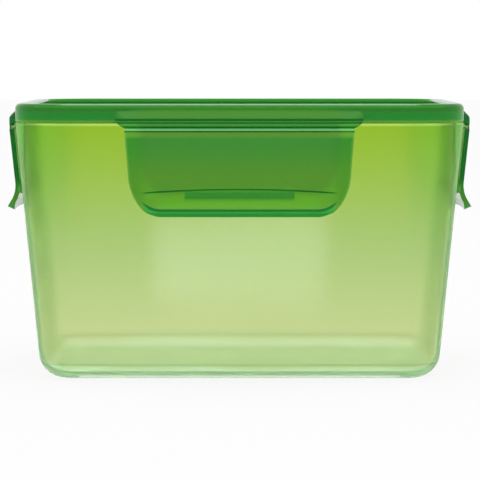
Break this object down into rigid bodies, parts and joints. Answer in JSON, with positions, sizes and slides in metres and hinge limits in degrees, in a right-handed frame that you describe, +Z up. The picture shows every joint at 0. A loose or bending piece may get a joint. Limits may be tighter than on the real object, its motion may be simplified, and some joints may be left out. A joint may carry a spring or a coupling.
{
  "type": "snap lid food container",
  "caption": "Tapered see-through food container with a green snap lid, a sealing ring in the rim and a hinged snap flap on each side",
  "frame": {"origin": "middle of the base, on the table", "axes": "+X to the right along the long side, +Z up, the front with the longer flap faces -Y"},
  "size_m": [0.1908, 0.1408, 0.1104],
  "materials": {
    "tub_plastic": "see-through pale yellow-green polypropylene, smooth and glossy",
    "lid_plastic": "see-through deep green polypropylene, smooth and glossy",
    "seal_silicone": "soft matt silicone ring"
  },
  "bodies": {
    "tub": {"tub": "tub_plastic"},
    "lid": {"lid": "lid_plastic", "seal": "seal_silicone", "front_hinge_film": "lid_plastic", "right_hinge_film": "lid_plastic", "rear_hinge_film": "lid_plastic", "left_hinge_film": "lid_plastic"},
    "front_flap": {"front_flap": "lid_plastic"},
    "right_flap": {"right_flap": "lid_plastic"},
    "rear_flap": {"rear_flap": "lid_plastic"},
    "left_flap": {"left_flap": "lid_plastic"}
  },
  "joints": [
    {"name": "lid_lift", "type": "slide", "parent": "tub", "child": "lid", "axis": [0, 0, 1], "range_m": [0, 0.1]},
    {"name": "front_flap_hinge", "type": "hinge", "parent": "lid", "child": "front_flap", "pos_m": [0, -0.06788, 0.10045], "axis": [-1, 0, 0], "range_deg": [0, 135], "deforming": ["front_hinge_film"]},
    {"name": "right_flap_hinge", "type": "hinge", "parent": "lid", "child": "right_flap", "pos_m": [0.09287, 0, 0.10045], "axis": [0, -1, 0], "range_deg": [0, 135], "deforming": ["right_hinge_film"]},
    {"name": "rear_flap_hinge", "type": "hinge", "parent": "lid", "child": "rear_flap", "pos_m": [0, 0.06788, 0.10045], "axis": [1, 0, 0], "range_deg": [0, 135], "deforming": ["rear_hinge_film"]},
    {"name": "left_flap_hinge", "type": "hinge", "parent": "lid", "child": "left_flap", "pos_m": [-0.09287, 0, 0.10045], "axis": [0, 1, 0], "range_deg": [0, 135], "deforming": ["left_hinge_film"]}
  ],
  "couplings": [
    {"joint": "front_flap_hinge", "follows": "lid_lift", "rad_per_m": 23.56},
    {"joint": "right_flap_hinge", "follows": "lid_lift", "rad_per_m": 23.56},
    {"joint": "rear_flap_hinge", "follows": "lid_lift", "rad_per_m": 23.56},
    {"joint": "left_flap_hinge", "follows": "lid_lift", "rad_per_m": 23.56}
  ]
}
